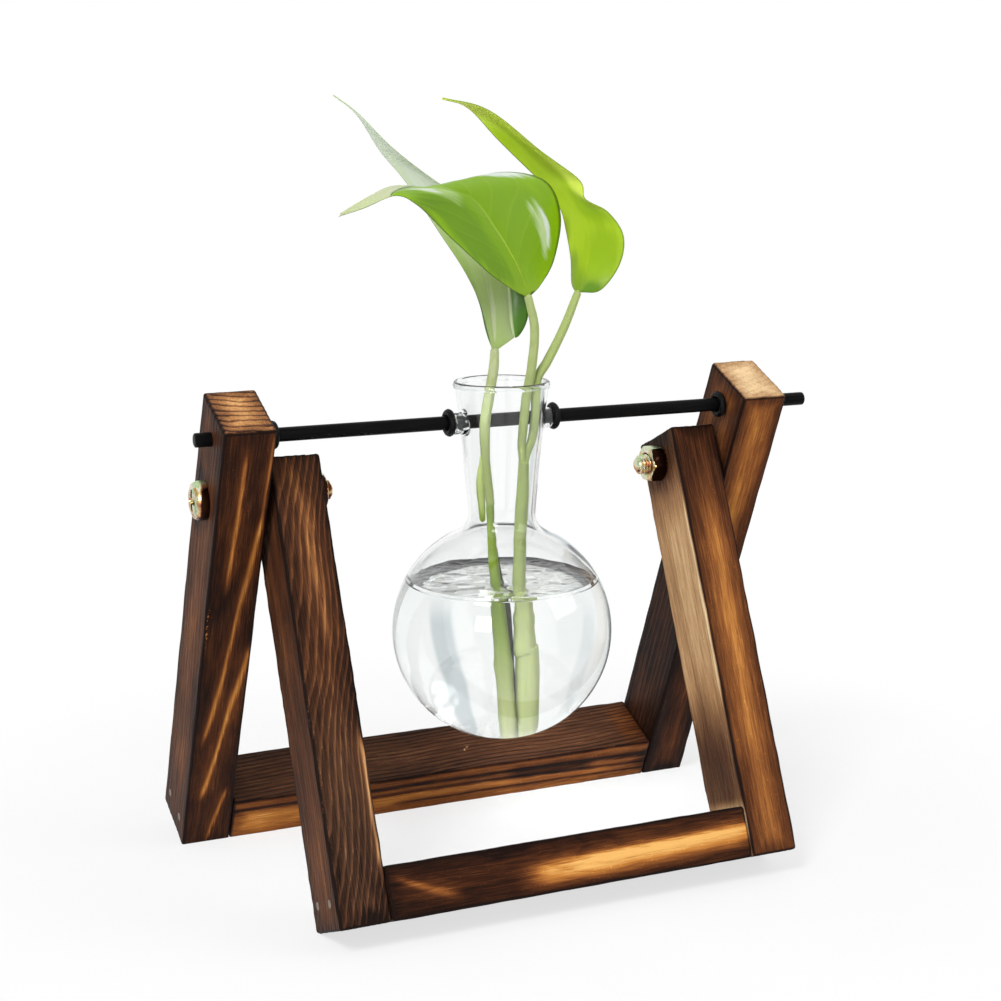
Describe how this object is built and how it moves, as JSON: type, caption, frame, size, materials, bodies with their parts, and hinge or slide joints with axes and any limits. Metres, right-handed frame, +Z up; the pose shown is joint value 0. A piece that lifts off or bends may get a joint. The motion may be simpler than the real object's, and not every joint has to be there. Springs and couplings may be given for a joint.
{
  "type": "hydroponic vase",
  "caption": "Round-bottomed glass flask hung on a rod in a folding dark wood stand, part filled with water and holding leafy cuttings",
  "frame": {"origin": "on the floor, below the middle of the part's box", "axes": "+Z up, +X along the hanging rod to its long end, -Y towards the front frame's feet"},
  "size_m": [0.1934, 0.1184, 0.2277],
  "materials": {
    "dark_wood": "charred and brushed softwood, amber grain",
    "brad_steel": "plain wire brads",
    "yellow_zinc": "yellow passivated zinc plate",
    "black_rod": "black satin coating",
    "black_rubber": "soft black rubber",
    "clear_glass": "clear blown borosilicate",
    "water": "clear water",
    "stem_dark": "old green stem, brown under water",
    "stem_green": "pale green stalk",
    "stem_brown": "dry brown sheath",
    "leaf_pale": "pale underside of a leaf",
    "leaf_green": "glossy green leaf",
    "leaf_yellow": "yellow green leaf",
    "root_black": "thin dark root"
  },
  "bodies": {
    "rear_frame": {"left_outer_post": "dark_wood", "right_outer_post": "dark_wood", "rear_crossbar": "dark_wood", "rear_crossbar_brads": "brad_steel", "left_pivot_screw": "yellow_zinc", "right_pivot_screw": "yellow_zinc", "left_pivot_washer": "yellow_zinc", "right_pivot_washer": "yellow_zinc", "left_pivot_nut": "yellow_zinc", "right_pivot_nut": "yellow_zinc"},
    "front_frame": {"left_inner_post": "dark_wood", "right_inner_post": "dark_wood", "front_crossbar": "dark_wood", "front_crossbar_brads": "brad_steel"},
    "rod": {"hanging_rod": "black_rod", "left_post_ring": "black_rubber", "right_post_ring": "black_rubber", "left_neck_ring": "black_rubber", "right_neck_ring": "black_rubber"},
    "flask": {"glass_flask": "clear_glass", "water": "water"},
    "cuttings": {"left_stem": "stem_dark", "left_petiole": "stem_green", "left_sheath": "stem_brown", "left_root": "root_black", "left_leaf": "leaf_pale", "right_stem": "stem_green", "middle_petiole": "stem_green", "right_petiole": "stem_green", "middle_leaf": "leaf_green", "right_leaf": "leaf_yellow"}
  },
  "joints": [
    {"name": "fold", "type": "hinge", "parent": "rear_frame", "child": "front_frame", "pos_m": [-0.00465, 0, 0.11473], "axis": [1, 0, 0], "range_deg": [-20, 36]},
    {"name": "rod_turn", "type": "hinge", "parent": "rear_frame", "child": "rod", "pos_m": [-0.00465, -0.00813, 0.133], "axis": [1, 0, 0], "continuous": true},
    {"name": "flask_swing", "type": "hinge", "parent": "rear_frame", "child": "flask", "pos_m": [-0.00565, -0.00813, 0.133], "axis": [1, 0, 0], "range_deg": [-35, 35]},
    {"name": "cuttings_lift", "type": "slide", "parent": "flask", "child": "cuttings", "axis": [0, 0, 1], "range_m": [0, 0.105]}
  ]
}
